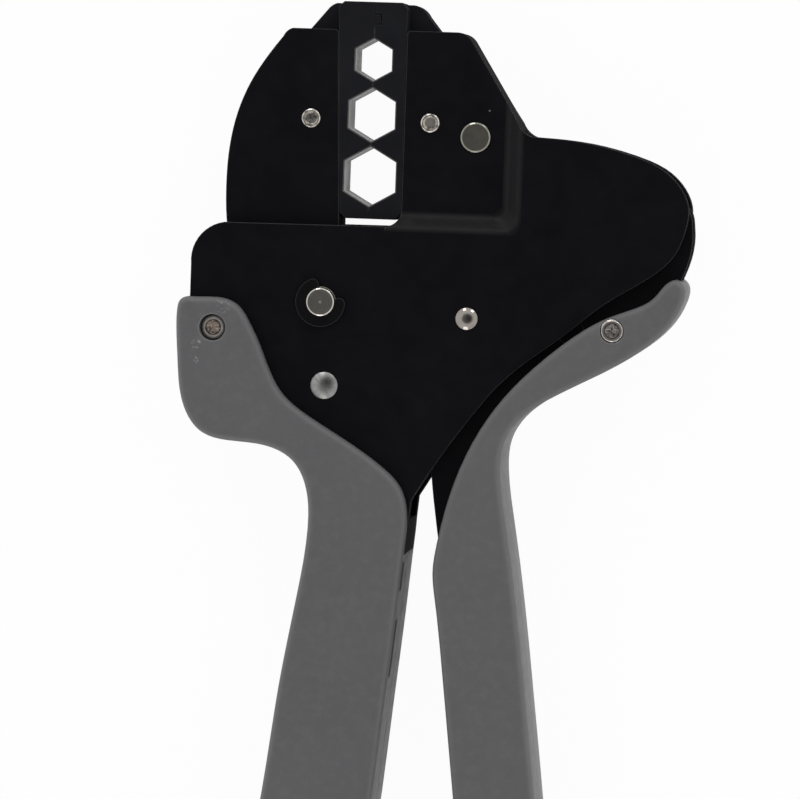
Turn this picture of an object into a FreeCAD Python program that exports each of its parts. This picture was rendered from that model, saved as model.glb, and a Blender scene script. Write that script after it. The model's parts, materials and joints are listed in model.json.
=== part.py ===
import FreeCAD, Part
import math
import os
from FreeCAD import Vector

# Coaxial crimping tool, closed, lying on its back: +X to the right of the front face,
# +Y towards the dies, +Z out of the front face.
# Plan coordinates are measured from the pawl rivet in the middle of the head.
# The finished model is moved so that its origin is the middle of its footprint.

# Depth of the tool, from the bench up
frame_plate = 2.5
frame_gap = 9.5
grip_wall = 2.25
side_plate = 2.3
running_gap = 0.1
shell_seam = 0.1

# Pivots, pins and rivets in plan
jaw_pivot = (-26.0, 2.0)
handle_pivot = (31.5, 13.5)
knee = (18.1, -1.4)
arm_pin = (-19.0, -21.0)
pawl_pivot = (0.0, 0.0)
stop_rivet_at = (-24.9, -12.77)
jaw_rivet_at = (0.23, 31.93)
moving_screw_at = (-29.14, 34.38)
fixed_screw_at = (-7.92, 34.2)
spring_post_at = (22.4, 7.4)
spring_peg_at = (24.0, 25.0)
pawl_peg_at = (-11.0, -4.7)
fixed_grip_screw_at = ((-44.9, -3.15), (-30.2, -118.0))
moving_grip_screw_at = ((25.85, -1.1), (11.6, -118.0))
core_rivet_at = ((-36.0, 9.5), (-29.5, 12.6))

# Radii of pins and what turns on them
pivot_play = 0.05
open_pivot_play = 0.5
jaw_pin_radius = 2.7
handle_pin_radius = 3.0
knee_pin_radius = 2.4
arm_pin_radius = 2.2
pawl_pin_radius = 1.8
pawl_dome_radius = 2.0
stop_shank_radius = 1.9
stop_dome_radius = 2.45
stop_sleeve_radius = 2.8
jaw_rivet_shank = 2.0
jaw_rivet_head = 2.65
core_rivet_radius = 1.5
post_radius = 1.3
peg_radius = 0.9
pin_stand = 0.95
dome_rise = 0.75
rivet_rise = 0.45
pin_rim = 0.45
rivet_rim = 0.28
rim_slope = 0.55
pin_cover = 0.8

# Retaining rings of the jaw pivot
ring_outer = 4.4
ring_thick = 0.8
ring_opening = 118.0
ring_direction = 55.5
groove_depth = 0.35

# Die pair
parting_x = -18.35
parting_gap = 0.1
die_bottom = 16.9
die_top = 55.2
die_block = 9.3
tongue_thick = 4.5
tongue_drop = 0.3
tongue_foot = 0.4
tongue_reach = 8.0
nest_y = (45.0, 35.3, 24.4)
nest_flats = (6.48, 8.23, 9.14)
nest_bevel = 0.2
key_y = 52.2
key_rise = 1.0
key_height = 1.54
key_play = 0.2
key_root = 1.5
die_screw_radius = 1.65
die_screw_head = 2.9
die_screw_head_thick = 1.3
die_screw_stand = 0.35
die_screw_rim = 0.4
die_screw_end_rim = 0.22
cup_wall = 0.42
cup_depth = 0.6
cup_floor_radius = 1.0
socket_flats = 2.5
socket_depth = 1.0
die_corner = 1.0

# Fixed jaw: a zone of each frame plate pressed inwards
fixed_jaw_left = -12.5
fixed_jaw_top = 50.3
step_edge_y = 15.4
step_edge_x = 8.5
step_run = 2.6
step_corner = 2.2
step_left = -15.0
jaw_corner = 0.6

# Moving jaw
jaw_top = 50.2
jaw_edge_foot = (-23.6, 16.9)
jaw_edge_lean = 0.0355
core_bottom = -6.5

# Toggle link
link_eye_radius = 4.2
link_width = 6.4

# Ratchet
tooth_crest = 26.6
tooth_depth = 1.2
tooth_first = 179.5
tooth_last = 206.5
tooth_count = 9
pawl_reach = 8.87
pawl_hub_radius = 4.0
pawl_tilt = 28.0
pawl_nose_radius = 0.5
pawl_tail = 6.0
pawl_tail_radius = 1.3
tip_play = 0.12

# Handle eye and springs
bush_radius = 5.0
spring_wire = 0.9
spring_coil_radius = 6.2
spring_turns = 3
pawl_spring_wire = 0.4
pawl_spring_radius = 1.4
pawl_spring_turns = 7
coil_pitch = 1.2
leg_overrun = 1.5
leg_thinning = 0.02

# Grips
grip_round = 1.3
grip_screw_radius = 1.25
grip_head_radius = 2.05
grip_head_thick = 0.8
grip_head_rim = 0.32
fixed_bore_play = 0.3
moving_bore_play = 0.05
screw_floor = 0.3
moving_screw_sink = 0.85
cross_length = 2.3
cross_width = 0.5
cross_depth = 0.55
nut_flats = 4.0
nut_thick = 1.2
nut_pocket_play = 0.15
screw_sleeve_radius = 2.6
handle_rest_y = -36.0

# Levels that follow from the sizes above, and a length beyond the whole tool
frame_in = frame_gap / 2
frame_out = frame_in + frame_plate
grip_face = frame_out + grip_wall
nut_seat = frame_out + screw_floor
fixed_screw_sink = grip_face - nut_seat
mid_z = grip_face
side_out = frame_in - running_gap
side_in = side_out - side_plate
core_half = side_in
link_half = side_in - running_gap
step_depth = frame_in - tongue_thick / 2
step_slope = frame_plate * math.tan(math.radians(30))
tongue_top = die_top - tongue_drop
far = 200.0

nodes = {}


def vec(point, z=0.0):
    return Vector(point[0], point[1], z)


def polar(centre, radius, degrees):
    angle = math.radians(degrees)
    return (centre[0] + radius * math.cos(angle), centre[1] + radius * math.sin(angle))


def outline(start, *steps):
    """Closed face in plan from straight runs, arcs and smooth curves."""
    edges = []
    here = start
    for kind, *points in steps:
        if kind == "line":
            for point in points:
                edges.append(Part.makeLine(vec(here), vec(point)))
                here = point
        elif kind == "arc":
            edges.append(Part.Arc(vec(here), vec(points[0]), vec(points[1])).toShape())
            here = points[1]
        else:
            curve = Part.BSplineCurve()
            curve.interpolate([vec(here)] + [vec(point) for point in points])
            edges.append(curve.toShape())
            here = points[-1]
    if math.dist(here, start) > 1e-6:
        edges.append(Part.makeLine(vec(here), vec(start)))
    return Part.Face(Part.Wire(edges))


def loop(points, inset=0.0, z=0.0):
    """Closed smooth curve in two edges through points in plan, each moved inwards by the inset."""
    pairs = zip(points, points[1:] + points[:1])
    area = sum(here[0] * there[1] - there[0] * here[1] for here, there in pairs)
    inset = math.copysign(inset, area)
    curve = Part.BSplineCurve()
    curve.interpolate([vec(point) for point in points], PeriodicFlag=True)
    moved = []
    for point in points:
        along = curve.tangent(curve.parameter(vec(point)))[0]
        moved.append(Vector(point[0] - along.y * inset, point[1] + along.x * inset, z))
    ring = Part.BSplineCurve()
    ring.interpolate(moved, PeriodicFlag=True)
    knots = ring.getKnots()
    halfway = knots[len(knots) // 2]
    return Part.Wire([ring.toShape(knots[0], halfway), ring.toShape(halfway, knots[-1])])


def moulded(points, radius):
    """Grip form over the full depth with rounded rims at the front and back."""
    straight = grip_face - radius
    middle = Part.Face(loop(points)).extrude(Vector(0, 0, 2 * straight))
    middle.translate(Vector(0, 0, mid_z - straight))
    rings = []
    for degrees in (0, 30, 60, 90):
        angle = math.radians(degrees)
        inset = radius * (1 - math.cos(angle))
        rings.append(loop(points, inset, mid_z + straight + radius * math.sin(angle)))
    rim = Part.makeLoft(rings, True, False)
    return middle.fuse(rim).fuse(rear(rim))


def slab(face, low, high):
    """Face in plan given thickness between two heights above or below the middle plane."""
    solid = face.extrude(Vector(0, 0, high - low))
    solid.translate(Vector(0, 0, mid_z + low))
    return solid


def disc(centre, radius, low, high):
    return Part.makeCylinder(radius, high - low, vec(centre, mid_z + low))


def box(x_low, x_high, y_low, y_high, low, high):
    return Part.makeBox(x_high - x_low, y_high - y_low, high - low, Vector(x_low, y_low, mid_z + low))


def drilled(solid, *holes):
    """Solid with round holes, each given as (centre, radius)."""
    for centre, radius in holes:
        solid = solid.cut(disc(centre, radius, -far, far))
    return solid


def rear(solid):
    """Same piece on the back half of the tool."""
    return solid.mirror(Vector(0, 0, mid_z), Vector(0, 0, 1))


def domed(centre, radius, low, rise):
    """Low spherical rivet head."""
    ball_radius = (radius ** 2 + rise ** 2) / (2 * rise)
    ball = Part.makeSphere(ball_radius, vec(centre, mid_z + low + rise - ball_radius))
    return ball.common(disc(centre, radius, low, low + rise))


def hexagon(centre, flats):
    """Corners of a hexagon with two flats facing left and right."""
    return [polar(centre, flats / math.sqrt(3), 90 + 60 * side) for side in range(6)]


def prism(centre, flats, low, high):
    points = hexagon(centre, flats)
    return slab(outline(points[0], ("line", *points[1:])), low, high)


def rimmed(centre, radius, low, high, rim):
    """Round pin whose upper end has a shallow bevel of this width."""
    rise = rim * rim_slope
    bevel = Part.makeCone(radius, radius - rim, rise, vec(centre, mid_z + high - rise))
    return disc(centre, radius, low, high - rise).fuse(bevel)


def one(*shapes):
    """Pieces joined to one clean solid."""
    joined = shapes[0]
    for shape in shapes[1:]:
        joined = joined.fuse(shape)
    return joined.removeSplitter()


# Pins whose ends sit in blind seats in both frame plates
blind_pins = (
    ("handle_pivot_pin", handle_pivot, handle_pin_radius),
    ("return_spring_peg", spring_peg_at, post_radius),
    ("pawl_spring_peg", pawl_peg_at, peg_radius),
)

# Outline of both frame plates: fixed jaw, lobe, waist and the tang in the fixed grip
frame_face = outline(
    (fixed_jaw_left, fixed_jaw_top - jaw_corner),
    ("arc", (fixed_jaw_left + 0.3 * jaw_corner, fixed_jaw_top - 0.3 * jaw_corner),
     (fixed_jaw_left + jaw_corner, fixed_jaw_top)),
    ("line", (-3.6, fixed_jaw_top)),
    ("arc", (-2.0, fixed_jaw_top - 0.45), (-1.05, fixed_jaw_top - 1.35)),
    ("line", (7.8, 34.8)),
    ("arc", (8.8, 33.3), (10.3, 32.4)),
    ("curve", (20.9, 31.45), (28.4, 29.6), (34.0, 27.1), (37.3, 23.6), (38.4, 20.6), (38.0, 17.0),
     (36.3, 12.6), (32.1, 8.5), (24.3, 3.5), (17.3, -2.3), (11.1, -7.0), (4.4, -13.4)),
    ("curve", (-1.3, -21.0), (-8.75, -32.6)),
    ("line", (-9.6, -42.0)),
    ("arc", (-12.0, -45.5), (-14.8, -47.5)),
    ("line", (-25.0, -128.0)),
    ("arc", (-30.7, -132.4), (-35.1, -126.7)),
    ("line", (-25.3, -50.0)),
    ("curve", (-24.5, -40.0), (-25.0, -32.0), (-28.5, -25.4), (-34.5, -21.6), (-41.5, -20.6),
     (-46.6, -17.0), (-48.9, -9.0), (-49.4, -1.0)),
    ("line", (-49.4, 8.0)),
    ("arc", (-47.6, 13.4), (-43.7, 15.5)),
    ("line", (step_left, 15.7)),
    ("arc", (-13.3, 16.5), (fixed_jaw_left, 18.2)),
)


def step_block(levels, ruled=True):
    """Block over the pressed zone, each level given as (height, how far its edge is moved in)."""
    wires = []
    for height, move in levels:
        right = step_edge_x - move
        bottom = step_edge_y + move
        corner = step_corner
        points = [
            (step_left, bottom),
            (right - corner, bottom),
            (right, bottom + corner),
            (right, far),
            (step_left, far),
        ]
        middle = polar((right - corner, bottom + corner), corner, -45)
        z = mid_z + height
        edges = [
            Part.makeLine(vec(points[0], z), vec(points[1], z)),
            Part.Arc(vec(points[1], z), vec(middle, z), vec(points[2], z)).toShape(),
            Part.makeLine(vec(points[2], z), vec(points[3], z)),
            Part.makeLine(vec(points[3], z), vec(points[4], z)),
            Part.makeLine(vec(points[4], z), vec(points[0], z)),
        ]
        wires.append(Part.Wire(edges))
    return Part.makeLoft(wires, True, ruled)


def step_pocket():
    """Space above the pressed zone, with an S-shaped slope down to the fixed jaw."""
    levels = []
    for depth, run in ((1.0, 1.2), (0.92, 0.95), (0.5, 0.5), (0.08, 0.05), (0.0, -0.2)):
        levels.append((frame_out - depth * step_depth, run * step_run))
    slope = step_block(levels, False)
    return slope.fuse(step_block([(frame_out, -0.2 * step_run), (frame_out + 1, -0.2 * step_run)]))


def frame_half():
    """Front frame plate with the fixed jaw pressed in towards the dies."""
    plate = slab(frame_face, frame_in, frame_out)
    pocket = step_pocket()
    low = frame_in - step_depth
    pressed = slab(frame_face, low, frame_in)
    pressed = pressed.common(step_block([(low, step_run - step_slope), (frame_in, -step_slope)]))
    plate = one(plate.cut(pocket), pressed.cut(pocket))
    holes = [
        (jaw_pivot, jaw_pin_radius),
        (pawl_pivot, pawl_pin_radius),
        (stop_rivet_at, stop_shank_radius),
        (jaw_rivet_at, jaw_rivet_shank),
        (fixed_screw_at, die_screw_radius),
    ]
    holes += [(centre, grip_screw_radius) for centre in fixed_grip_screw_at]
    plate = drilled(plate, *holes)
    for name, centre, radius in blind_pins:
        plate = plate.cut(disc(centre, radius, 0, frame_out - pin_cover))
    return plate


def frame():
    front = frame_half()
    nodes["front_frame_plate"] = front
    nodes["rear_frame_plate"] = rear(front)
    tang = slab(frame_face, -frame_in, frame_in)
    tang = tang.common(box(-far, far, -far, handle_rest_y, -frame_in, frame_in))
    nodes["fixed_handle_spacer"] = drilled(tang, (fixed_grip_screw_at[1], grip_screw_radius))
    spacer = slab(frame_face, -tongue_thick / 2, tongue_thick / 2)
    spacer_left = fixed_tongue_end() + running_gap
    spacer_right = step_edge_x - running_gap
    spacer_bottom = step_edge_y + step_run - step_slope
    spacer = spacer.common(box(spacer_left, spacer_right, spacer_bottom, far, -frame_in, frame_in))
    nodes["fixed_jaw_spacer"] = drilled(spacer, (jaw_rivet_at, jaw_rivet_shank))
    sleeve = disc(stop_rivet_at, stop_sleeve_radius, -frame_in, frame_in)
    nodes["stop_sleeve"] = drilled(sleeve, (stop_rivet_at, stop_shank_radius))


def frame_rivets():
    face = frame_out
    shank = disc(stop_rivet_at, stop_shank_radius, -face, face)
    head = domed(stop_rivet_at, stop_dome_radius, face, dome_rise)
    nodes["stop_rivet"] = one(shank, head, rear(head))
    shank = disc(pawl_pivot, pawl_pin_radius, -face, face)
    head = domed(pawl_pivot, pawl_dome_radius, face, dome_rise)
    nodes["pawl_pivot_rivet"] = one(shank, head, rear(head))
    pressed_face = frame_out - step_depth
    shank = disc(jaw_rivet_at, jaw_rivet_shank, -pressed_face, pressed_face)
    head = rimmed(jaw_rivet_at, jaw_rivet_head, pressed_face, pressed_face + rivet_rise, rivet_rim)
    nodes["fixed_jaw_rivet"] = one(shank, head, rear(head))
    ends = frame_out - pin_cover
    for name, centre, radius in blind_pins:
        nodes[name] = disc(centre, radius, -ends, ends)


def jaw_pivot_parts():
    end = frame_out + pin_stand
    front_end = rimmed(jaw_pivot, jaw_pin_radius, 0, end, pin_rim)
    pin = one(front_end, rear(front_end))
    ring_low = frame_out
    groove = disc(jaw_pivot, jaw_pin_radius + 1, ring_low, ring_low + ring_thick)
    groove = groove.cut(disc(jaw_pivot, jaw_pin_radius - groove_depth, ring_low, ring_low + ring_thick))
    pin = pin.cut(groove).cut(rear(groove))
    nodes["jaw_pivot_pin"] = pin
    ring = disc(jaw_pivot, ring_outer, ring_low, ring_low + ring_thick)
    ring = drilled(ring, (jaw_pivot, jaw_pin_radius - groove_depth))
    mouth_low = polar(jaw_pivot, 3 * ring_outer, ring_direction - ring_opening / 2)
    mouth_high = polar(jaw_pivot, 3 * ring_outer, ring_direction + ring_opening / 2)
    mouth = outline(jaw_pivot, ("line", mouth_low, mouth_high))
    ring = ring.cut(slab(mouth, 0, far))
    tip_radius = (ring_outer - jaw_pin_radius + groove_depth) / 2
    for side in (-1, 1):
        tip = polar(jaw_pivot, ring_outer - tip_radius, ring_direction + side * ring_opening / 2)
        ring = ring.fuse(disc(tip, tip_radius, ring_low, ring_low + ring_thick))
    ring = ring.removeSplitter()
    nodes["jaw_pivot_rings"] = Part.makeCompound([ring, rear(ring)])


def fixed_tongue_end():
    return fixed_jaw_left + tongue_reach - running_gap


def nests():
    """The three hexagonal nests with a light bevel on both faces."""
    cut = None
    for height, flats in zip(nest_y, nest_flats):
        centre = (parting_x, height)
        half = die_block / 2
        tool = prism(centre, flats, -half - nest_bevel, half + nest_bevel)
        wires = []
        for grow, z in ((0, half - nest_bevel), (2 * nest_bevel, half)):
            points = [vec(point, mid_z + z) for point in hexagon(centre, flats + grow)]
            wires.append(Part.makePolygon(points + points[:1]))
        bevel = Part.makeLoft(wires, True, True)
        tool = tool.fuse(bevel).fuse(rear(bevel))
        cut = tool if cut is None else cut.fuse(tool)
    return cut


def key_shape(play):
    """Stub near the top of the moving die that enters the fixed die."""
    low = key_y - key_height / 2 - play
    high = key_y + key_height / 2 + play
    half = die_block / 2
    return box(parting_x - key_root, parting_x + key_rise + play, low, high, -half, half)


def dies():
    half = die_block / 2
    tongue_half = tongue_thick / 2
    cutters = nests()
    left_face = parting_x - parting_gap / 2
    right_face = parting_x + parting_gap / 2

    back_low = jaw_edge(die_bottom)[0] + running_gap
    back_high = jaw_edge(die_top)[0] + running_gap
    block = outline(
        (left_face, die_bottom),
        ("line", (left_face, die_top), (back_high + die_corner, die_top), (back_high, die_top - die_corner),
         (back_low, die_bottom + die_corner), (back_low + die_corner, die_bottom)),
    )
    tongue_end = back_low - tongue_reach
    tongue = outline(
        (parting_x - key_root, die_bottom + tongue_foot),
        ("line", (parting_x - key_root, tongue_top), (back_high - 0.6, tongue_top)),
        ("arc", (back_high - 1.5, tongue_top - 0.45), (back_high - 2.3, tongue_top - 1.25)),
        ("line", (tongue_end, tongue_top - 6.5), (tongue_end, die_bottom + tongue_foot)),
    )
    die = one(slab(block, -half, half), slab(tongue, -tongue_half, tongue_half))
    die = die.cut(cutters).fuse(key_shape(0)).removeSplitter()
    nodes["moving_die"] = drilled(die, (moving_screw_at, die_screw_radius))

    back = fixed_jaw_left - running_gap
    block = outline(
        (right_face, die_bottom),
        ("line", (right_face, die_top), (back - die_corner, die_top), (back, die_top - die_corner),
         (back, die_bottom + die_corner), (back - die_corner, die_bottom)),
    )
    tongue_end = fixed_tongue_end()
    tongue = outline(
        (parting_x + key_root, die_bottom + tongue_foot),
        ("line", (parting_x + key_root, tongue_top), (back + 1.0, tongue_top)),
        ("arc", (back + 2.4, tongue_top - 0.6), (back + 3.6, tongue_top - 2.0)),
        ("line", (tongue_end, tongue_top - 7.4), (tongue_end, die_bottom + tongue_foot)),
    )
    die = one(slab(block, -half, half), slab(tongue, -tongue_half, tongue_half))
    die = die.cut(cutters).cut(key_shape(key_play))
    nodes["fixed_die"] = drilled(die, (fixed_screw_at, die_screw_radius))


def die_screw(centre, face):
    """Screw from the back whose hollow end shows at the front."""
    shank = rimmed(centre, die_screw_radius, -face, face + die_screw_stand, die_screw_end_rim)
    head = disc(centre, die_screw_head, -face - die_screw_head_thick, -face)
    low = -face - die_screw_head_thick
    rim = [edge for edge in head.Edges if edge.BoundBox.ZMax < mid_z + low + die_screw_rim]
    head = head.makeFillet(die_screw_rim, rim)
    cup_floor = mid_z + face + die_screw_stand - cup_depth
    cup = Part.makeCone(cup_floor_radius, die_screw_radius - cup_wall, cup_depth, vec(centre, cup_floor))
    socket = prism(centre, socket_flats, low, low + socket_depth)
    return one(shank, head).cut(cup).cut(socket)


def die_screws():
    nodes["moving_die_screw"] = die_screw(moving_screw_at, side_out)
    nodes["fixed_die_screw"] = die_screw(fixed_screw_at, frame_out - step_depth)


def jaw_edge(y):
    """Edge of the moving jaw beside the dies leans back slightly towards the top."""
    return (jaw_edge_foot[0] - jaw_edge_lean * (y - jaw_edge_foot[1]), y)


jaw_face = outline(
    jaw_edge(jaw_top - jaw_corner),
    ("arc", (jaw_edge(jaw_top)[0] - 0.3 * jaw_corner, jaw_top - 0.3 * jaw_corner),
     (jaw_edge(jaw_top)[0] - jaw_corner, jaw_top)),
    ("line", (-32.9, jaw_top)),
    ("arc", (-33.8, jaw_top - 0.45), (-34.55, jaw_top - 1.45)),
    ("curve", (-37.8, 44.35), (-40.3, 40.1), (-42.7, 33.6), (-43.75, 27.2), (-43.95, 21.0),
     (-43.4, 14.0), (-41.0, 7.0)),
    ("curve", (-37.6, 0.8), (-33.0, -3.7), (-26.0, -6.9)),
    ("curve", (-21.8, -9.6), (-21.2, -13.0), (-22.6, -18.2)),
    ("arc", (-20.2, -25.44), (-14.5, -22.1)),
    ("curve", (-13.9, -16.0), (-14.6, -9.0), (-18.3, 0.0), (-22.0, 8.0), jaw_edge(die_bottom - 0.6)),
)


def moving_jaw():
    plate = slab(jaw_face, side_in, side_out)
    holes = [
        (jaw_pivot, jaw_pin_radius + pivot_play),
        (arm_pin, arm_pin_radius),
        (moving_screw_at, die_screw_radius),
    ]
    holes += [(centre, core_rivet_radius) for centre in core_rivet_at]
    plate = drilled(plate, *holes)
    nodes["moving_jaw_front_plate"] = plate
    nodes["moving_jaw_rear_plate"] = rear(plate)
    core = slab(jaw_face, -core_half, core_half)
    core = core.common(box(-far, far, core_bottom, far, -core_half, core_half))
    room_left = jaw_edge(die_bottom)[0] - tongue_reach
    core = core.cut(box(room_left, far, die_bottom + tongue_foot, far, -frame_in, frame_in))
    core_holes = [(jaw_pivot, jaw_pin_radius + pivot_play)]
    core_holes += [(centre, core_rivet_radius) for centre in core_rivet_at]
    nodes["moving_jaw_core"] = drilled(core, *core_holes)
    rivets = [disc(centre, core_rivet_radius, -side_out, side_out) for centre in core_rivet_at]
    nodes["moving_jaw_rivets"] = Part.makeCompound(rivets)
    nodes["jaw_link_pin"] = disc(arm_pin, arm_pin_radius, -side_out, side_out)


def toggle_link():
    length = math.dist(knee, arm_pin)
    turn = math.degrees(math.atan2(arm_pin[1] - knee[1], arm_pin[0] - knee[0]))
    half = link_width / 2
    bar = Part.makeBox(length, link_width, 2 * link_half, Vector(0, -half, mid_z - link_half))
    bar.rotate(Vector(0, 0, 0), Vector(0, 0, 1), turn)
    bar.translate(vec(knee))
    eyes = [disc(centre, link_eye_radius, -link_half, link_half) for centre in (knee, arm_pin)]
    link = one(bar, *eyes)
    nodes["toggle_link"] = drilled(link, (knee, knee_pin_radius + pivot_play),
                                   (arm_pin, arm_pin_radius + open_pivot_play))


def tooth_points():
    """Ratchet teeth from the lowest one up, around the handle pivot."""
    pitch = (tooth_last - tooth_first) / tooth_count
    points = []
    for tooth in range(tooth_count):
        crest = tooth_last - tooth * pitch
        points.append(polar(handle_pivot, tooth_crest, crest))
        points.append(polar(handle_pivot, tooth_crest - tooth_depth, crest - pitch / 2))
    points.append(polar(handle_pivot, tooth_crest, tooth_first))
    return points


def handle_outline():
    return outline(
        (29.4, 21.2),
        ("curve", (33.5, 22.6), (37.0, 21.6), (38.5, 20.0), (39.05, 17.2), (39.15, 15.8), (39.1, 14.3),
         (38.6, 11.5), (37.6, 8.6), (35.6, 3.6)),
        ("curve", (32.5, 0.0), (27.0, -3.7), (20.0, -7.6), (12.6, -11.6), (7.2, -15.8),
         (5.0, -20.6), (4.5, -26.4), (5.1, -32.0), (6.4, -40.0), (8.2, -51.0)),
        ("line", (17.0, -125.0)),
        ("arc", (12.9, -129.5), (7.6, -126.1)),
        ("line", (-1.2, -52.0)),
        ("curve", (-3.0, -45.0), (-4.1, -38.2), (-4.6, -35.0), (-5.55, -27.7)),
        ("curve", (-2.4, -20.6), (2.6, -13.0), (6.6, -7.4), (8.3, -2.4)),
        ("line", *tooth_points()),
        ("line", (11.0, 13.9)),
        ("arc", (12.6, 14.6), (14.0, 16.6)),
    )


def moving_handle():
    handle_face = handle_outline()
    plate = slab(handle_face, side_in, side_out)
    holes = [
        (handle_pivot, handle_pin_radius + pivot_play),
        (knee, knee_pin_radius),
        (spring_post_at, post_radius),
    ]
    holes += [(centre, grip_screw_radius) for centre in moving_grip_screw_at]
    plate = drilled(plate, *holes)
    nodes["moving_handle_front_plate"] = plate
    nodes["moving_handle_rear_plate"] = rear(plate)
    bush = disc(handle_pivot, bush_radius, -side_in, side_in)
    nodes["handle_bush"] = drilled(bush, (handle_pivot, handle_pin_radius + pivot_play))
    nodes["knee_pin"] = disc(knee, knee_pin_radius, -side_out, side_out)
    nodes["return_spring_post"] = disc(spring_post_at, post_radius, -side_out, side_out)
    spacer = slab(handle_face, -side_in, side_in)
    spacer = spacer.common(box(-far, far, -far, handle_rest_y, -side_in, side_in))
    nodes["moving_handle_spacer"] = drilled(spacer, (moving_grip_screw_at[1], grip_screw_radius))
    return handle_face


def pawl():
    """Pawl tipped up as it rides over the crests."""
    toward = math.degrees(math.atan2(handle_pivot[1] - pawl_pivot[1], handle_pivot[0] - pawl_pivot[0]))
    lean = toward + pawl_tilt
    tip = polar(pawl_pivot, pawl_reach - tip_play - pawl_nose_radius, lean)
    tail = polar(pawl_pivot, pawl_tail, lean + 180)
    nose = outline(
        polar(pawl_pivot, pawl_hub_radius, lean + 62),
        ("line", polar(tip, pawl_nose_radius, lean + 90)),
        ("arc", polar(tip, pawl_nose_radius, lean), polar(tip, pawl_nose_radius, lean - 90)),
        ("line", polar(pawl_pivot, pawl_hub_radius, lean - 62)),
    )
    heel = outline(
        polar(pawl_pivot, pawl_hub_radius, lean + 130),
        ("line", polar(tail, pawl_tail_radius, lean + 90)),
        ("arc", polar(tail, pawl_tail_radius, lean + 180), polar(tail, pawl_tail_radius, lean - 90)),
        ("line", polar(pawl_pivot, pawl_hub_radius, lean - 130)),
    )
    wide = side_out
    narrow = pawl_spring_radius * 2
    body = one(disc(pawl_pivot, pawl_hub_radius, -wide, wide), slab(nose, -wide, wide),
               slab(heel, -narrow, narrow))
    nodes["pawl"] = drilled(body, (pawl_pivot, pawl_pin_radius + pivot_play))
    return tail


def coil(base, along, radius, wire, pitch, turns):
    """Wire wound around an axis, with the two points where it starts and ends."""
    circle = Part.makeCircle(wire / 2, Vector(radius, 0, 0), Vector(0, 1, pitch / (2 * math.pi * radius)))
    helix = Part.makeHelix(pitch, pitch * turns, radius)
    wound = Part.Wire(helix.Edges).makePipeShell([Part.Wire([circle])], True, True)
    place = FreeCAD.Placement(base, FreeCAD.Rotation(Vector(0, 0, 1), along))
    wound.Placement = place
    first = place.multVec(Vector(radius, 0, 0))
    last = place.multVec(Vector(radius, 0, pitch * turns))
    return wound, first, last


def bent_wire(wire, points):
    """Straight runs of spring wire, a little thinner than the coil, with rounded bends."""
    radius = wire / 2 - leg_thinning
    pieces = []
    for here, there in zip(points, points[1:]):
        run = there - here
        pieces.append(Part.makeCylinder(radius, run.Length, here, run))
        pieces.append(Part.makeSphere(radius, here))
    pieces.append(Part.makeSphere(radius, points[-1]))
    return pieces


def tangent_leg(catch, side):
    """Angle at which a straight leg leaves the coil so that it rests beside a catch, and its length."""
    hold = spring_coil_radius + post_radius + spring_wire / 2 + running_gap
    away = math.dist(catch, handle_pivot)
    toward = math.degrees(math.atan2(catch[1] - handle_pivot[1], catch[0] - handle_pivot[0]))
    leave = toward + side * math.degrees(math.acos(hold / away))
    return leave, math.sqrt(away ** 2 - hold ** 2) + leg_overrun


def return_spring():
    """Torsion spring around the bush: one wire from the post of the handle to the peg of the frame."""
    start, post_leg = tangent_leg(spring_post_at, 1)
    end, peg_leg = tangent_leg(spring_peg_at, -1)
    turns = spring_turns - 1 + (end - start) % 360 / 360
    pitch = spring_wire * coil_pitch
    height = pitch * turns
    helix = Part.makeHelix(pitch, height, spring_coil_radius)
    helix.rotate(Vector(0, 0, 0), Vector(0, 0, 1), start)
    helix.translate(vec(handle_pivot, mid_z - height / 2))
    first = vec(polar(handle_pivot, spring_coil_radius, start), mid_z - height / 2)
    last = vec(polar(handle_pivot, spring_coil_radius, end), mid_z + height / 2)
    climb = pitch / (2 * math.pi * spring_coil_radius)
    arrive = vec(polar((0, 0), 1, start + 90), climb)
    depart = vec(polar((0, 0), 1, end + 90), climb)
    foot = first - arrive * post_leg
    path = [Part.makeLine(foot, first)] + helix.Edges + [Part.makeLine(last, last + depart * peg_leg)]
    section = Part.Wire([Part.makeCircle(spring_wire / 2, foot, arrive)])
    nodes["return_spring"] = Part.Wire(path).makePipeShell([section], True, False)


def pawl_spring(tail):
    """Small tension spring between the tail of the pawl and a peg of the frame."""
    span = vec(pawl_peg_at, mid_z) - vec(tail, mid_z)
    along = Vector(span)
    along.normalize()
    hook = pawl_tail_radius + running_gap
    catch = peg_radius + running_gap
    wound_length = (span.Length - hook - catch) * 0.6
    end_run = (span.Length - hook - catch - wound_length) / 2
    pitch = wound_length / pawl_spring_turns
    base = vec(tail, mid_z) + along * (hook + end_run)
    wound, first, last = coil(base, along, pawl_spring_radius, pawl_spring_wire, pitch, pawl_spring_turns)
    end = base + along * wound_length
    reach = along * (end_run - pawl_spring_wire / 2)
    pieces = bent_wire(pawl_spring_wire, [first, base, base - reach])
    pieces += bent_wire(pawl_spring_wire, [last, end, end + reach])
    nodes["pawl_spring"] = one(wound, *pieces)


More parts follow.
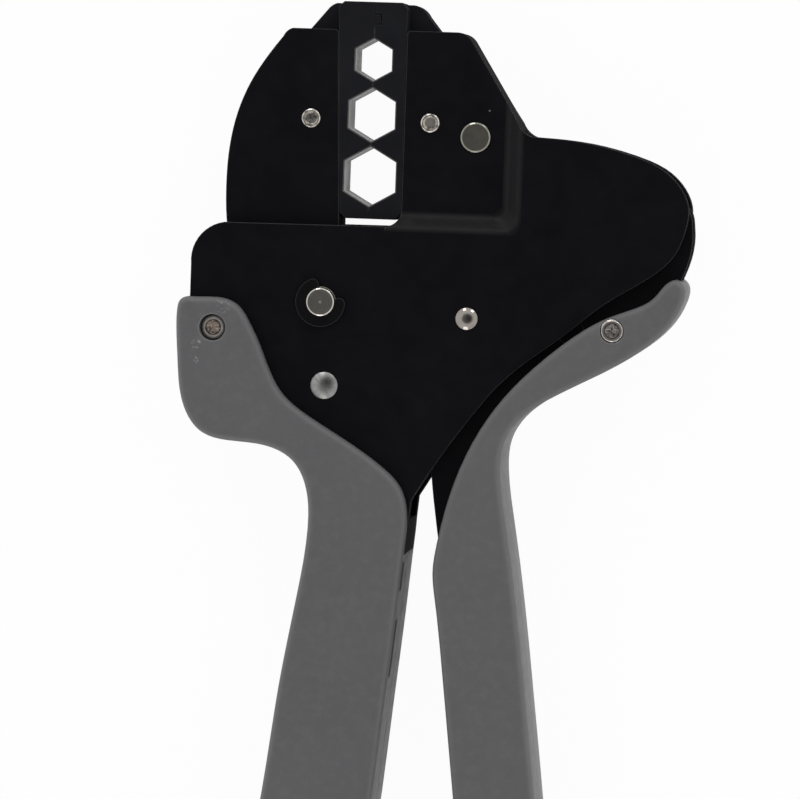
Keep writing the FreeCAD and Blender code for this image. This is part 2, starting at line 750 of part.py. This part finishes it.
fixed_grip_points = [
    (-49.3, 2.15), (-45.8, 2.2), (-43.0, 2.0), (-40.6, 0.85), (-38.7, -1.7), (-36.75, -5.45), (-34.6, -10.5),
    (-32.0, -14.7), (-28.0, -17.9), (-21.3, -21.9), (-14.2, -26.6), (-10.5, -30.4), (-9.25, -35.0),
    (-9.5, -40.5), (-10.5, -52.0), (-12.25, -70.0), (-14.35, -91.0), (-18.3, -118.0), (-22.2, -142.0),
    (-25.0, -155.0), (-29.2, -163.2), (-35.4, -165.8), (-41.6, -163.2), (-44.6, -156.0), (-43.2, -142.0),
    (-38.8, -115.0), (-33.7, -86.6), (-30.9, -65.0), (-28.2, -49.0), (-26.85, -38.0), (-27.4, -31.0),
    (-30.0, -26.2), (-34.8, -23.8), (-41.4, -23.15), (-46.5, -21.75), (-49.6, -17.7), (-51.1, -9.4),
    (-51.5, -3.6), (-51.45, -0.1), (-50.9, 1.55),
]
moving_grip_points = [
    (37.75, 7.65), (36.5, 8.2), (35.2, 7.6), (33.0, 5.0), (28.6, 2.55), (24.4, 0.85), (19.2, -2.35),
    (14.1, -6.5),
    (8.9, -11.6), (4.9, -16.7), (1.6, -22.4), (-1.0, -28.7), (-2.6, -34.2), (-3.8, -40.0), (-4.35, -45.0),
    (-3.75, -50.0), (-2.1, -62.0), (0.55, -83.6), (4.0, -112.0), (7.4, -140.0), (8.8, -152.0),
    (11.3, -160.2), (16.2, -163.0), (21.0, -160.6), (23.0, -152.6), (21.8, -138.0), (18.3, -110.0),
    (15.0, -83.1), (12.95, -67.0), (10.85, -51.4), (8.5, -37.0), (7.05, -27.0), (7.5, -21.7), (9.85, -17.7),
    (15.2, -13.55), (23.5, -9.1), (30.8, -4.65), (35.85, 0.05), (37.9, 3.8), (38.4, 6.2),
]


def grip(points, cavity, screws, screw_sink, bore_play):
    """Two moulded shells around a tang, with screw bores at the front and nut pockets behind."""
    form = moulded(points, grip_round).cut(cavity)
    form = drilled(form, *[(centre, grip_screw_radius) for centre in screws])
    front = form.common(box(-far, far, -far, far, shell_seam / 2, far))
    back = form.common(box(-far, far, -far, far, -far, -shell_seam / 2))
    pocket = nut_flats + 2 * nut_pocket_play
    for centre in screws:
        front = front.cut(disc(centre, grip_head_radius + bore_play, grip_face - screw_sink, far))
        back = back.cut(prism(centre, pocket, -far, -nut_seat))
    return front, back


def grip_screws(screws, screw_sink):
    """Cross-headed screws and their nuts."""
    seat = grip_face - screw_sink
    top = seat + grip_head_thick
    bolts = []
    nuts = []
    for centre in screws:
        head = rimmed(centre, grip_head_radius, seat, top, grip_head_rim)
        shank = disc(centre, grip_screw_radius, -nut_seat - nut_thick, seat)
        bolt = one(shank, head)
        for wide, tall in ((cross_length, cross_width), (cross_width, cross_length)):
            slot = box(centre[0] - wide / 2, centre[0] + wide / 2, centre[1] - tall / 2, centre[1] + tall / 2,
                       top - cross_depth, top)
            bolt = bolt.cut(slot)
        bolts.append(bolt)
        nut = prism(centre, nut_flats, -nut_seat - nut_thick, -nut_seat)
        nuts.append(drilled(nut, (centre, grip_screw_radius)))
    return Part.makeCompound(bolts), Part.makeCompound(nuts)


def grips(handle_face):
    cavity = slab(frame_face, -frame_out, frame_out)
    front, back = grip(fixed_grip_points, cavity, fixed_grip_screw_at, fixed_screw_sink, fixed_bore_play)
    nodes["fixed_grip_front"] = front
    nodes["fixed_grip_rear"] = back
    bolts, nuts = grip_screws(fixed_grip_screw_at, fixed_screw_sink)
    nodes["fixed_grip_screws"] = bolts
    nodes["fixed_grip_nuts"] = nuts
    sleeve = disc(fixed_grip_screw_at[0], screw_sleeve_radius, -frame_in, frame_in)
    nodes["fixed_grip_sleeve"] = drilled(sleeve, (fixed_grip_screw_at[0], grip_screw_radius))

    cavity = slab(handle_face, -side_out, side_out)
    front, back = grip(moving_grip_points, cavity, moving_grip_screw_at, moving_screw_sink, moving_bore_play)
    nodes["moving_grip_front"] = front
    nodes["moving_grip_rear"] = back
    bolts, nuts = grip_screws(moving_grip_screw_at, moving_screw_sink)
    nodes["moving_grip_screws"] = bolts
    nodes["moving_grip_nuts"] = nuts
    sleeve = disc(moving_grip_screw_at[0], screw_sleeve_radius, -side_in, side_in)
    nodes["moving_grip_sleeve"] = drilled(sleeve, (moving_grip_screw_at[0], grip_screw_radius))


def build():
    frame()
    frame_rivets()
    jaw_pivot_parts()
    dies()
    die_screws()
    moving_jaw()
    toggle_link()
    handle_face = moving_handle()
    tail = pawl()
    return_spring()
    pawl_spring(tail)
    grips(handle_face)


build()
whole = Part.makeCompound(list(nodes.values())).optimalBoundingBox(False, False)
shift = Vector(-whole.Center.x, -whole.Center.y, -whole.ZMin)
os.makedirs("parts", exist_ok=True)
for name, shape in nodes.items():
    if shape.ShapeType == "Compound" and len(shape.Solids) == 1:
        shape = shape.Solids[0]
    shape.translate(shift)
    shape.exportStep("parts/" + name + ".step")
    print(name, len(shape.Solids), shape.isValid(), round(shape.Volume, 1))
print("shift", round(shift.x, 4), round(shift.y, 4), round(shift.z, 4))
print("size", round(whole.XLength, 3), round(whole.YLength, 3), round(whole.ZLength, 3))
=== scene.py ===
import bpy
import json
import math
from mathutils import Matrix, Vector


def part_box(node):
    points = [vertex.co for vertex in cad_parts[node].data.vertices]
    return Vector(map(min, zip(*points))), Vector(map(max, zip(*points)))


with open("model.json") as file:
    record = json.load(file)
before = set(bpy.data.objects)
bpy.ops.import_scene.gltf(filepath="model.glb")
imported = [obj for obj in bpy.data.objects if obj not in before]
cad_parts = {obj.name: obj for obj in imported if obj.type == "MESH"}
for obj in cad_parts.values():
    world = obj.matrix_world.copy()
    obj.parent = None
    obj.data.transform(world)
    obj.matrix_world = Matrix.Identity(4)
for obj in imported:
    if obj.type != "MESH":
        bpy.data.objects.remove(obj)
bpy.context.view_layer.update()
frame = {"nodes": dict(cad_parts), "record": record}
nodes = frame["nodes"]

# The scene is in metres: lengths below are in millimetres times this
MM = 0.001

# The picture: where the camera stands over the tool, what it looks at, and which way is up
VIEW_POINT = Vector((87.01, 84.3, 816.75)) * MM
VIEW_TARGET = Vector((-5.09, 40.6, 16.75)) * MM
PICTURE_UP = Vector((-0.0349, 0.9994, 0.0))

# The camera: width of its film and length of its lens, both in millimetres, and its range in metres
FILM_WIDTH = 36.0
LENS_LENGTH = 205.5
NEAREST_SEEN = 0.01
FARTHEST_SEEN = 20.0

# Bare nest walls: to each side of the dies' parting face, and in from the dies' lower and upper ends
NEST_REACH = 5.3 * MM
NEST_FOOT = 1.5 * MM
NEST_TOP = 4.6 * MM
NEST_FADE = 0.05 * MM
BARE_DARK = (0.27, 0.27, 0.265)
BARE_PALE = (0.36, 0.36, 0.35)

# Coating: how bright dust is, how much lighter sloped faces are painted as a highlight, and how rough the
# sheared side walls are
DUST = (0.16, 0.16, 0.165)
SLOPE_SHEEN_GAIN = 0.0085
WALL_ROUGHNESS = 0.95

# Grips: roughness of the plastic, and colours of it, of what lies on it, and of the highlights and shade
# painted on it
GRIP_ROUGHNESS = 0.55
GRIP_GREY = (0.1105, 0.1105, 0.1145)
GRIP_CLOUD = (0.118, 0.118, 0.1215)
GRIP_MOTTLE = (0.135, 0.135, 0.137)
GRIP_DARK = (0.092, 0.092, 0.096)
GRIP_RIM_HIGHLIGHT = (0.155, 0.155, 0.158)
GRIP_RUBBED_AND_HIGHLIGHT = (0.25, 0.25, 0.253)
SCUFF_GREY = (0.33, 0.33, 0.34)
SCRATCH_GREY = (0.4, 0.4, 0.41)
SLIT_GREY = (0.045, 0.045, 0.048)

# Side walls of the grips carry painted bounce light: they are painted paler between these heights over the
# bench, up to this many times
WALL_PLAIN_AT = 16 * MM
WALL_PALE_AT = 2 * MM
WALL_BOUNCE_GAIN = 1.9

# Scuffs on the left grip: the middle of each in plan, in millimetres, and how far it reaches
SCUFFS = (
    ((-36.9, 56.0), 1.5 * MM),
    ((-41.3, 49.1), 1.2 * MM),
    ((-41.6, 46.6), 1.0 * MM),
)

# Dark slits in the inner wall of the left grip: from and to up the tool, across it, and over the bench
SLITS = (
    (6.8 * MM, 11.6 * MM),
    (-8.6 * MM, 1.3 * MM),
)
SLIT_ACROSS = (-9 * MM, -2 * MM)
SLIT_HEIGHT = (14.4 * MM, 17 * MM)

# Heads of the grip screws: their radius, and from and to of the dark groove and of the rim, which is painted
# lighter as a highlight where its power is below 1 and darker where it is above
SCREW_HEAD = 2.05 * MM
HEAD_GROOVE = (1.2 * MM, 1.35 * MM)
HEAD_RIM = (1.5 * MM, 2 * MM)

# Turned pin ends: spacing of the turning marks, soft edge of the flat, and radii of the centre mark
RING_PITCH = 0.5 * MM
FLAT_FADE = 0.06 * MM
CENTRE_FULL = 0.18 * MM
CENTRE_GONE = 0.3 * MM

# Light tent: strength round the rim and overhead, and the heights where the rim ends and the top begins,
# as parts of the tent's radius
SKY_RIM = 0.95
SKY_TOP = 0.2
SKY_RIM_UP_TO = 0.72
SKY_TOP_FROM = 0.93

# Bench: how far it reaches in metres, its colour, and how much of the white it shows is its own light
FLOOR_REACH = 6.0
FLOOR_WHITE = (0.93, 0.93, 0.93)
FLOOR_GLOW = 0.96

# What the lamps point at
TOOL_HEAD = Vector((0.0, 55.0, 16.0)) * MM


def times(colour, factor):
    """The colour made darker or lighter."""
    return [factor * part for part in colour]


def in_plan(place):
    """Point on the bench for a pair of millimetres."""
    return Vector((*place, 0.0)) * MM


def centre(node):
    """Middle of a CAD node at rest."""
    low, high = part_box(node)
    return (low + high) / 2


def camera():
    """Long lens over the front face, turned a little so that the tool leans as in the picture."""
    data = bpy.data.cameras.new("camera")
    data.sensor_width = FILM_WIDTH
    data.lens = LENS_LENGTH
    data.clip_start = NEAREST_SEEN
    data.clip_end = FARTHEST_SEEN
    view = bpy.data.objects.new("camera", data)
    bpy.context.scene.collection.objects.link(view)
    back = (VIEW_POINT - VIEW_TARGET).normalized()
    right = PICTURE_UP.cross(back).normalized()
    up = back.cross(right)
    turn = Matrix((right, up, back)).transposed()
    view.matrix_world = Matrix.Translation(VIEW_POINT) @ turn.to_4x4()
    bpy.context.scene.camera = view


class Shade:
    """A node material with its shader, the tone painted so far, and short names for its nodes."""

    def __init__(self, name, colour, roughness, metallic=0.0, specular=0.5):
        self.material = bpy.data.materials.new(name)
        self.material.use_nodes = True
        self.tree = self.material.node_tree
        self.shader = self.tree.nodes["Principled BSDF"]
        self.shader.inputs["Base Color"].default_value = (*colour, 1.0)
        self.shader.inputs["Roughness"].default_value = roughness
        self.shader.inputs["Metallic"].default_value = metallic
        self.shader.inputs["Specular IOR Level"].default_value = specular
        self.place = self.add("ShaderNodeTexCoord").outputs["Object"]
        self.tone = colour

    def add(self, kind, **settings):
        """A new node."""
        node = self.tree.nodes.new(kind)
        for key, value in settings.items():
            setattr(node, key, value)
        return node

    def put(self, socket, value):
        """A link where the value is an output, and otherwise a number, place or colour on the socket."""
        if isinstance(value, bpy.types.NodeSocket):
            self.tree.links.new(value, socket)
        elif socket.type == "RGBA":
            socket.default_value = (*value, 1.0)
        else:
            socket.default_value = value

    def maths(self, operation, first, second=0.0):
        """A sum, product or comparison of two values, or a function of one."""
        node = self.add("ShaderNodeMath", operation=operation)
        self.put(node.inputs[0], first)
        self.put(node.inputs[1], second)
        return node.outputs[0]

    def both(self, first, second):
        """Mask that is 1 where both masks are."""
        return self.maths("MULTIPLY", first, second)

    def rest(self, mask):
        """Mask that is 1 where the mask is 0."""
        return self.maths("SUBTRACT", 1.0, mask)

    def spread(self, value, start, end, least=0.0, most=1.0):
        """The least at the start, the most at the end, and even steps between them."""
        node = self.add("ShaderNodeMapRange")
        self.put(node.inputs["Value"], value)
        for key, number in (("From Min", start), ("From Max", end), ("To Min", least), ("To Max", most)):
            self.put(node.inputs[key], number)
        return node.outputs[0]

    def band(self, value, low, high, fade):
        """Mask that is 1 where the value lies between two numbers, and fades out outside them."""
        return self.both(self.spread(value, low - fade, low), self.spread(value, high + fade, high))

    def noise(self, size, detail, place=None):
        """Cloudy pattern with features of about this size."""
        node = self.add("ShaderNodeTexNoise")
        self.put(node.inputs["Vector"], place or self.place)
        self.put(node.inputs["Scale"], 1.0 / size)
        self.put(node.inputs["Detail"], detail)
        return node.outputs[0]

    def clouds(self, size, detail, start, end, least=0.0, most=1.0, place=None):
        """Cloudy pattern spread from the least to the most."""
        return self.spread(self.noise(size, detail, place), start, end, least, most)

    def uneven(self, roughness, size, detail, below, above):
        """Roughness in clouds, from this much below its value to this much above it."""
        return self.clouds(size, detail, start=0.3, end=0.7, least=roughness - below, most=roughness + above)

    def flecks(self, size, share, gone, full, place=None):
        """Dots in a share of random cells of this size. Gone and full: parts of it from a dot's middle."""
        cells = self.add("ShaderNodeTexVoronoi")
        self.put(cells.inputs["Vector"], place or self.place)
        self.put(cells.inputs["Scale"], 1.0 / size)
        draw = self.add("ShaderNodeSeparateColor")
        self.put(draw.inputs[0], cells.outputs["Color"])
        chosen = self.maths("LESS_THAN", draw.outputs[0], share)
        return self.both(chosen, self.spread(cells.outputs["Distance"], gone, full))

    def blend(self, share, first, second):
        """First colour where the share is 0 and second where it is 1."""
        node = self.add("ShaderNodeMix", data_type="RGBA")
        self.put(node.inputs["Factor"], share)
        self.put(node.inputs["A"], first)
        self.put(node.inputs["B"], second)
        return node.outputs["Result"]

    def paint(self, mask, colour, strength=1.0):
        """Lays a colour over the tone where the mask is above 0."""
        share = self.both(mask, strength) if strength < 1.0 else mask
        self.tone = self.blend(share, self.tone, colour)

    def edges(self, width):
        """Mask of the strips beside sharp edges, and the normal rounded over them."""
        bevel = self.add("ShaderNodeBevel", samples=6)
        self.put(bevel.inputs["Radius"], width)
        dot = self.add("ShaderNodeVectorMath", operation="DOT_PRODUCT")
        self.put(dot.inputs[0], bevel.outputs[0])
        self.put(dot.inputs[1], self.add("ShaderNodeNewGeometry").outputs["Normal"])
        return self.spread(dot.outputs["Value"], start=0.995, end=0.8), bevel.outputs[0]

    def split(self, vector):
        """The three parts of a vector."""
        node = self.add("ShaderNodeSeparateXYZ")
        self.put(node.inputs[0], vector)
        return node.outputs

    def upright(self, start=0.8, end=0.45):
        """Mask that is 0 on flat faces and 1 on side walls, by how far the normal points up or down."""
        normal = self.add("ShaderNodeNewGeometry").outputs["Normal"]
        return self.spread(self.maths("ABSOLUTE", self.split(normal)[2]), start, end)

    def around(self, middle):
        """Direction in plan from a middle, and the distance from it."""
        offset = self.add("ShaderNodeVectorMath", operation="SUBTRACT")
        self.put(offset.inputs[0], self.place)
        self.put(offset.inputs[1], middle)
        flat = self.add("ShaderNodeVectorMath", operation="MULTIPLY")
        self.put(flat.inputs[0], offset.outputs[0])
        self.put(flat.inputs[1], (1.0, 1.0, 0.0))
        length = self.add("ShaderNodeVectorMath", operation="LENGTH")
        self.put(length.inputs[0], flat.outputs[0])
        toward = self.add("ShaderNodeVectorMath", operation="NORMALIZE")
        self.put(toward.inputs[0], flat.outputs[0])
        return toward.outputs[0], length.outputs["Value"]

    def stretched(self, turn, scale):
        """Places turned about the upright axis and scaled, so that dots become streaks."""
        node = self.add("ShaderNodeMapping")
        self.put(node.inputs["Vector"], self.place)
        self.put(node.inputs["Rotation"], (0.0, 0.0, turn))
        self.put(node.inputs["Scale"], scale)
        return node.outputs[0]

    def bump(self, height, strength, distance, normal):
        """The normal tilted by a height pattern."""
        node = self.add("ShaderNodeBump")
        self.put(node.inputs["Strength"], strength)
        self.put(node.inputs["Distance"], distance)
        self.put(node.inputs["Height"], height)
        self.put(node.inputs["Normal"], normal)
        return node.outputs[0]

    def finish(self, roughness, normal):
        """Joins the tone, the roughness and the normal to the shader."""
        for key, value in (("Base Color", self.tone), ("Roughness", roughness), ("Normal", normal)):
            self.put(self.shader.inputs[key], value)
        return self.material


def bare_walls(shade, wall, zone):
    """Paints milled steel on the walls of the nests. The zone is from and to across the tool, then up it."""
    across, along = shade.split(shade.place)[0:2]
    inside = shade.both(shade.band(across, *zone[0], NEST_FADE), shade.band(along, *zone[1], NEST_FADE))
    bare = shade.both(inside, wall)
    streaky = shade.clouds(0.9 * MM, detail=3.0, start=0.3, end=0.7)
    shade.paint(bare, shade.blend(streaky, BARE_DARK, BARE_PALE))
    return bare


def coated_black(name, colour, rubbed_and_highlight, dust_share=0.1, roughness=0.42, nests=None):
    """Satin black coating: fine grain, edge wear with a painted highlight, sloped faces with a painted
    highlight, a little dust, and bare walls in the nests.
    """
    shade = Shade(name, colour, roughness, specular=0.1)
    wall = shade.upright()
    lit_slope = shade.both(shade.upright(start=0.995, end=0.9), shade.rest(wall))
    shade.paint(shade.clouds(12 * MM, detail=4.0, start=0.35, end=0.7), times(colour, 1.35))
    # Painted highlight: sloped faces, such as the pressed step, are painted lighter as if they caught the
    # light
    shade.paint(lit_slope, [part + SLOPE_SHEEN_GAIN for part in colour])
    edge, rounded = shade.edges(width=0.28 * MM)
    patchy = shade.clouds(4 * MM, detail=3.0, start=0.3, end=0.6, least=0.55)
    # Edges painted lighter in patches: partly edge wear, partly a painted highlight along the edges
    shade.paint(shade.both(edge, patchy), rubbed_and_highlight)
    shade.paint(shade.flecks(4.2 * MM, dust_share, gone=0.05, full=0.03), DUST)
    rough = shade.uneven(roughness, 3 * MM, detail=5.0, below=0.05, above=0.07)
    if nests:
        wall = shade.both(wall, shade.rest(bare_walls(shade, wall, nests)))
    rough = shade.maths("MAXIMUM", rough, shade.both(wall, WALL_ROUGHNESS))
    grain = shade.noise(0.22 * MM, detail=2.0)
    return shade.finish(rough, shade.bump(grain, strength=0.12, distance=0.04 * MM, normal=rounded))


def moulded_grey(name):
    """Matt grey moulded plastic: spark-eroded grain, edge wear and rims with painted highlights, walls with
    painted bounce light, scuffs, scratches and slits.
    """
    shade = Shade(name, GRIP_GREY, GRIP_ROUGHNESS, specular=0.35)
    shade.tone = times(GRIP_GREY, 0.97)
    shade.paint(shade.clouds(30 * MM, detail=3.0, start=0.3, end=0.75), GRIP_CLOUD)
    shade.paint(shade.clouds(1.4 * MM, detail=5.0, start=0.45, end=0.72, most=0.5), GRIP_MOTTLE)
    shade.paint(shade.clouds(4.5 * MM, detail=4.0, start=0.42, end=0.3, most=0.2), GRIP_DARK)
    edge, rounded = shade.edges(width=0.6 * MM)
    patchy = shade.clouds(5 * MM, detail=3.0, start=0.35, end=0.6, least=0.35, most=0.95)
    # Edges painted lighter in patches: partly edge wear, partly a painted highlight along the rounded edges
    shade.paint(shade.both(edge, patchy), GRIP_RUBBED_AND_HIGHLIGHT)
    # Painted highlight: faces tilted a little at the rounded rims are painted lighter
    shade.paint(shade.upright(start=0.98, end=0.8), GRIP_RIM_HIGHLIGHT, strength=0.7)

    across, along, height = shade.split(shade.place)
    # Painted light: side walls painted paler towards the bench, as if lit by light bounced up from it
    lower = shade.spread(height, WALL_PLAIN_AT, WALL_PALE_AT)
    bounce_lit_grey = shade.blend(lower, GRIP_GREY, times(GRIP_GREY, WALL_BOUNCE_GAIN))
    shade.paint(shade.upright(start=0.5, end=0.1), bounce_lit_grey)

    speckles = shade.clouds(0.6 * MM, detail=4.0, start=0.53, end=0.62, most=0.8)
    for place, reach in SCUFFS:
        near = shade.spread(shade.around(in_plan(place))[1], reach, 0.4 * reach)
        shade.paint(shade.both(near, speckles), SCUFF_GREY)

    # Painted gaps between the shells: dark slits, partly the black tang showing and partly painted shade in
    # the gap
    depth = shade.band(across, *SLIT_ACROSS, fade=0.1 * MM)
    level = shade.band(height, *SLIT_HEIGHT, fade=0.3 * MM)
    lengths = [shade.band(along, *ends, fade=0.5 * MM) for ends in SLITS]
    slit = shade.both(shade.both(depth, level), shade.maths("ADD", *lengths))
    shade.paint(slit, SLIT_GREY)

    streaks = shade.stretched(turn=0.6, scale=(1.0, 0.22, 1.0))
    scratches = shade.flecks(6 * MM, share=0.05, gone=0.06, full=0.03, place=streaks)
    shade.paint(scratches, SCRATCH_GREY, strength=0.6)
    rough = shade.uneven(GRIP_ROUGHNESS, 2 * MM, detail=4.0, below=0.05, above=0.07)
    rough = shade.maths("MAXIMUM", rough, slit)
    grain = shade.noise(0.35 * MM, detail=3.0)
    return shade.finish(rough, shade.bump(grain, strength=0.25, distance=0.06 * MM, normal=rounded))


def turned_metal(name, middle, colour, roughness, flat_radius=None, brush_and_sheen=None, dark_reflection=None):
    """End of a pin with the fine circles that turning leaves, or a dome with brush marks, with sectors and a
    dark spot of painted reflection.
    """
    shade = Shade(name, colour, roughness, metallic=1.0)
    toward, distance = shade.around(middle)
    wave = shade.maths("SINE", shade.maths("MULTIPLY", distance, 2 * math.pi / RING_PITCH))
    shade.paint(shade.clouds(1.1 * MM, detail=3.0, start=0.35, end=0.7), times(colour, 0.84))
    if flat_radius:
        flat = shade.spread(distance, flat_radius + FLAT_FADE, flat_radius - FLAT_FADE, most=0.45)
        shade.paint(flat, times(colour, 0.3))
        shade.paint(shade.spread(wave, start=0.1, end=0.9, most=0.5), times(colour, 0.4))
        shade.paint(shade.spread(distance, CENTRE_GONE, CENTRE_FULL), times(colour, 1.4))
    # Dark sectors round the middle: partly brush marks, partly the painted reflection pattern that brushing
    # gives a dome
    if brush_and_sheen:
        brush_sectors = shade.clouds(0.35, detail=4.0, start=0.4, end=0.7, most=brush_and_sheen, place=toward)
        shade.paint(brush_sectors, times(colour, 0.4))
    # Painted reflection: a dark patch off the middle of a dome, standing for the dark overhead mirrored in
    # it
    if dark_reflection:
        place, reach = dark_reflection
        away = shade.around(middle + in_plan(place))[1]
        shade.paint(shade.spread(away, reach, 0.25 * reach, most=0.75), times(colour, 0.18))
    rough = shade.uneven(roughness, 1.2 * MM, detail=3.0, below=0.03, above=0.05)
    rounded = shade.edges(width=0.1 * MM)[1]
    return shade.finish(rough, shade.bump(wave, strength=0.1, distance=0.004 * MM, normal=rounded))


def plated_steel(name, colour, roughness, stain_size=1.1 * MM, stained=0.6, dents=0.08, head=None):
    """Small plated or oiled parts with uneven gloss and darker stains. A head has a groove and a rim."""
    shade = Shade(name, colour, roughness, metallic=1.0)
    shade.paint(shade.clouds(stain_size, detail=4.0, start=0.45, end=0.66), times(colour, stained))
    if head:
        middle, rim_power = head
        distance = shade.around(middle)[1]
        groove = shade.band(distance, *HEAD_GROOVE, fade=0.1 * MM)
        shade.paint(groove, times(colour, 0.12), strength=0.75)
        # Painted highlight on the rim of a head where the power is below 1; above 1 the rim is painted
        # darker
        rim = shade.band(distance, *HEAD_RIM, fade=0.08 * MM)
        shade.paint(rim, [part ** rim_power for part in colour], strength=0.9)
    rough = shade.uneven(roughness, 0.8 * MM, detail=3.0, below=0.05, above=0.1)
    rounded = shade.edges(width=0.1 * MM)[1]
    grain = shade.noise(0.3 * MM, detail=2.0)
    return shade.finish(rough, shade.bump(grain, strength=dents, distance=0.04 * MM, normal=rounded))


def blacks():
    """Coated parts, by material slot. Only the dies have bare nest walls."""
    low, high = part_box("fixed_die")
    nests = (
        (low.x - NEST_REACH, low.x + NEST_REACH),
        (low.y + NEST_FOOT, high.y - NEST_TOP),
    )
    return {
        "frame_black": coated_black("frame_black", (0.0032, 0.0031, 0.0042), rubbed_and_highlight=(0.08, 0.08, 0.085)),
        "ring_black": coated_black(
            "ring_black", (0.003, 0.003, 0.0035), rubbed_and_highlight=(0.055, 0.057, 0.062),
            dust_share=0.0, roughness=0.4),
        "die_steel": coated_black(
            "die_steel", (0.0088, 0.009, 0.0113), rubbed_and_highlight=(0.04, 0.04, 0.044),
            dust_share=0.02, nests=nests),
    }


def steels():
    """Plated and oiled parts, by material slot."""
    return {
        "screw_nickel": plated_steel(
            "screw_nickel", (0.66, 0.62, 0.57), roughness=0.14,
            stain_size=0.9 * MM, stained=0.3, dents=0.25),
        "inner_steel": plated_steel("inner_steel", (0.32, 0.32, 0.31), roughness=0.32),
        "spring_steel": plated_steel("spring_steel", (0.42, 0.42, 0.42), roughness=0.28),
    }


def turned_pins():
    """Pins and rivets that show their ends, by node: each has a finish around its own middle."""
    # The domes carry painted dark reflections; the stop rivet's brush sectors are partly painted reflection
    looks = {
        "jaw_pivot_pin": {"colour": (0.6, 0.57, 0.52), "roughness": 0.12, "flat_radius": 2.1 * MM},
        "stop_rivet": {"colour": (0.36, 0.36, 0.355), "roughness": 0.34, "brush_and_sheen": 0.4,
                       "dark_reflection": ((0.8, 0.85), 1.5 * MM)},
        "pawl_pivot_rivet": {"colour": (0.34, 0.31, 0.285), "roughness": 0.07,
                             "dark_reflection": ((0.55, 0.1), 0.95 * MM)},
        "fixed_jaw_rivet": {"colour": (0.3, 0.29, 0.25), "roughness": 0.12},
    }
    return {node: turned_metal("turned_" + node, centre(node), **look) for node, look in looks.items()}


def grip_screws():
    """Grip screws, by node. Each pair's upper head, the one in the picture, fills a corner of its box."""
    low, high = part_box("fixed_grip_screws")
    left = Vector((low.x + SCREW_HEAD, high.y - SCREW_HEAD, 0.0))
    low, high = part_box("moving_grip_screws")
    right = Vector((high.x - SCREW_HEAD, high.y - SCREW_HEAD, 0.0))
    patchy = {"stain_size": 0.6 * MM, "stained": 0.14, "dents": 1.0}
    return {
        "fixed_grip_screws": plated_steel(
            "brown_nickel", (0.8, 0.67, 0.58), roughness=0.18, head=(left, 0.35), **patchy),
        "moving_grip_screws": plated_steel(
            "grey_nickel", (0.66, 0.62, 0.59), roughness=0.16, head=(right, 1.6), **patchy),
    }


def materials():
    """Gives each node its own finish, or else the finish of its material slot."""
    by_slot = {**blacks(), **steels(), "grip_grey": moulded_grey("grip_grey")}
    by_node = {**turned_pins(), **grip_screws()}
    slots = {part["node"]: part["material_slot"] for part in frame["record"]["subparts"]}
    for name, piece in nodes.items():
        piece.data.materials.clear()
        piece.data.materials.append(by_node[name] if name in by_node else by_slot[slots[name]])


def floor():
    """Pale bench that shows white to the camera and in reflections, and keeps a faint shadow."""
    mesh = bpy.data.meshes.new("floor")
    corners = [(x * FLOOR_REACH, y * FLOOR_REACH, 0.0) for x, y in ((-1, -1), (1, -1), (1, 1), (-1, 1))]
    mesh.from_pydata(corners, [], [(0, 1, 2, 3)])
    plane = bpy.data.objects.new("floor", mesh)
    bpy.context.scene.collection.objects.link(plane)
    shade = Shade("floor_white", FLOOR_WHITE, roughness=0.9, specular=0.0)
    ray = shade.add("ShaderNodeLightPath").outputs
    seen = shade.maths("MAXIMUM", ray["Is Camera Ray"], ray["Is Glossy Ray"])
    seen = shade.maths("MAXIMUM", seen, ray["Is Transmission Ray"])
    mix = shade.add("ShaderNodeMixShader")
    shade.put(mix.inputs["Fac"], shade.maths("MULTIPLY", seen, FLOOR_GLOW))
    shade.put(mix.inputs[1], shade.shader.outputs[0])
    shade.put(mix.inputs[2], shade.add("ShaderNodeEmission").outputs[0])
    shade.put(shade.tree.nodes["Material Output"].inputs["Surface"], mix.outputs[0])
    mesh.materials.append(shade.material)


def sky():
    """Light tent: bright all round and dark overhead, where the camera stands."""
    world = bpy.data.worlds.new("tent")
    world.use_nodes = True
    bpy.context.scene.world = world
    tree = world.node_tree
    direction = tree.nodes.new("ShaderNodeTexCoord")
    parts = tree.nodes.new("ShaderNodeSeparateXYZ")
    tree.links.new(direction.outputs["Generated"], parts.inputs[0])
    height = tree.nodes.new("ShaderNodeMapRange")
    height.interpolation_type = "SMOOTHSTEP"
    tree.links.new(parts.outputs["Z"], height.inputs["Value"])
    for key, number in (("From Min", SKY_RIM_UP_TO), ("From Max", SKY_TOP_FROM),
                        ("To Min", SKY_RIM), ("To Max", SKY_TOP)):
        height.inputs[key].default_value = number
    background = tree.nodes["Background"]
    background.inputs["Color"].default_value = (1.0, 1.0, 1.0, 1.0)
    tree.links.new(height.outputs[0], background.inputs["Strength"])


def lamp(name, azimuth, elevation, distance, size, power):
    """Square softbox aimed at the tool's head: angles in degrees, lengths in metres, power in watts."""
    data = bpy.data.lights.new(name, "AREA")
    data.shape = "SQUARE"
    data.size = size
    data.energy = power
    light = bpy.data.objects.new(name, data)
    turn = math.radians(azimuth)
    rise = math.radians(elevation)
    away = Vector((math.cos(rise) * math.cos(turn), math.cos(rise) * math.sin(turn), math.sin(rise)))
    light.location = TOOL_HEAD + distance * away
    light.rotation_euler = away.to_track_quat("Z", "Y").to_euler()
    bpy.context.scene.collection.objects.link(light)


def lamps():
    """Two softboxes behind the head and a larger one on the side of the grips, all of them low."""
    lamp("left_softbox", azimuth=109.0, elevation=24.0, distance=0.95, size=0.28, power=0.9)
    lamp("right_softbox", azimuth=58.0, elevation=24.0, distance=0.95, size=0.28, power=0.9)
    lamp("near_softbox", azimuth=262.0, elevation=20.0, distance=1.05, size=0.45, power=1.2)


camera()
materials()
floor()
sky()
lamps()
bpy.context.scene.view_settings.view_transform = "Standard"
